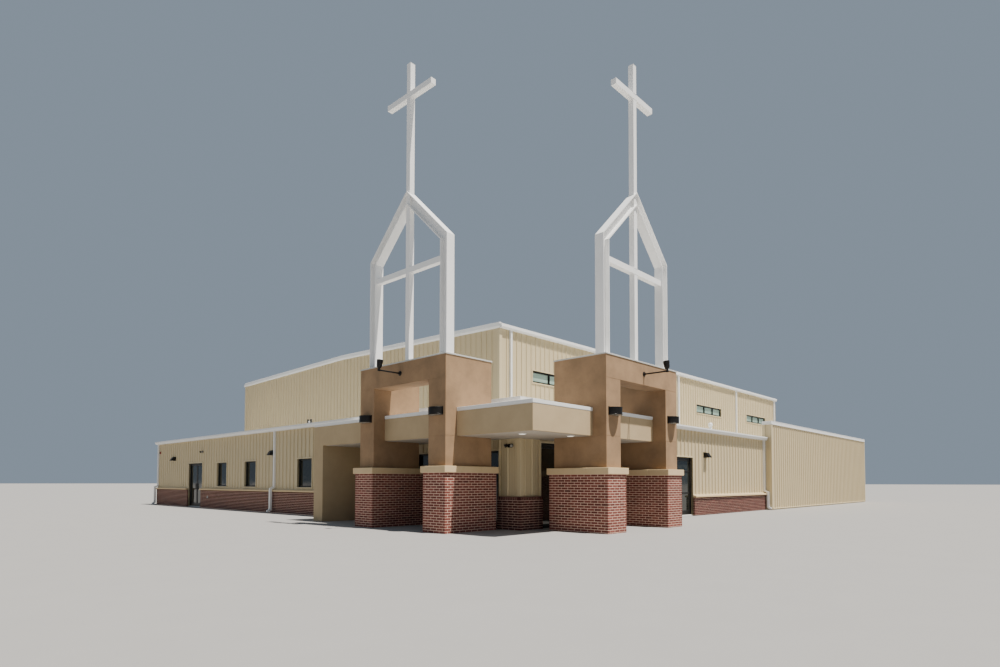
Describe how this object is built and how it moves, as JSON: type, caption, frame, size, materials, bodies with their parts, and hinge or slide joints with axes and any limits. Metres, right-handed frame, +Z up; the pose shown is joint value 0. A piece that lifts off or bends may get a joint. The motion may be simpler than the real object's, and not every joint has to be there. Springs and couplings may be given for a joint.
{
  "type": "church building",
  "caption": "Low-pitched hall wrapped by a lower wing, with a corner entry behind stucco towers that carry open steel spires with crosses; exterior doors are hinged.",
  "frame": {"origin": "middle of the whole outline in plan, on the ground under the floor", "axes": "+Z up; +X along the front with the right wing and block, away from the corner entry; +Y along the front with the left wing, away from the corner entry"},
  "size_m": [38.51, 31.39, 13.25],
  "materials": {
    "panel": "satin, ribbed",
    "roof_panel": "satin, ribbed",
    "white_trim": "satin",
    "brick": "rough red-brown brick with a pale cast sill or cap",
    "stucco": "matt, fine sand finish",
    "pale_stucco": "matt, fine sand finish",
    "white_steel": "satin",
    "dark_aluminium": "dark bronze, satin",
    "window_glass": "clear, lightly tinted",
    "dark_light": "dark bronze, satin",
    "concrete": "broom-finished concrete"
  },
  "bodies": {
    "building": {"left_wall_near": "panel", "left_wall_over_door": "panel", "left_wall_far": "panel", "right_wall_near": "panel", "right_wall_over_door": "panel", "right_wall_far": "panel", "right_block_wall": "panel", "hall_wall_front": "panel", "hall_wall_left": "panel", "back_wall": "panel", "end_wall": "panel", "hall_roof": "roof_panel", "left_wing_roof": "roof_panel", "right_wing_roof": "roof_panel", "right_block_roof": "roof_panel", "entry_roof": "roof_panel", "right_block_cap": "white_trim", "left_gutter": "white_trim", "right_gutter": "white_trim", "hall_gutter_front": "white_trim", "hall_gutter_back": "white_trim", "canopy_cap": "white_trim", "left_wainscot_near": "brick", "left_wainscot_far": "brick", "right_wainscot_near": "brick", "right_wainscot_far": "brick", "entry_wainscot": "brick", "left_base_near": "brick", "left_base_far": "brick", "right_base_near": "brick", "right_base_far": "brick", "left_tower": "stucco", "right_tower": "stucco", "canopy_deck": "pale_stucco", "portal_wall": "pale_stucco", "left_spire": "white_steel", "right_spire": "white_steel", "left_door_frame": "dark_aluminium", "right_door_frame": "dark_aluminium", "left_window_near": "dark_aluminium", "left_window_middle": "dark_aluminium", "left_window_far": "dark_aluminium", "left_storefront": "dark_aluminium", "right_storefront": "dark_aluminium", "hall_glass_front": "window_glass", "hall_glass_back": "window_glass", "left_light_near": "dark_light", "left_light_far": "dark_light", "right_light_near": "dark_light", "right_light_far": "dark_light", "left_spotlight": "dark_light", "right_spotlight": "dark_light", "floor_slab": "concrete"},
    "left_near_leaf": {"left_door_leaf_near": "dark_aluminium"},
    "left_far_leaf": {"left_door_leaf_far": "dark_aluminium"},
    "right_leaf": {"right_door_leaf": "dark_aluminium"}
  },
  "joints": [
    {"name": "left_near_hinge", "type": "hinge", "parent": "building", "child": "left_near_leaf", "pos_m": [-16.257, 9.179, 0], "axis": [0, 0, 1], "range_deg": [0, 90]},
    {"name": "left_far_hinge", "type": "hinge", "parent": "building", "child": "left_far_leaf", "pos_m": [-16.257, 10.871, 0], "axis": [0, 0, -1], "range_deg": [0, 90]},
    {"name": "right_hinge", "type": "hinge", "parent": "building", "child": "right_leaf", "pos_m": [-6.039, -12.487, 0], "axis": [0, 0, 1], "range_deg": [0, 90]}
  ]
}
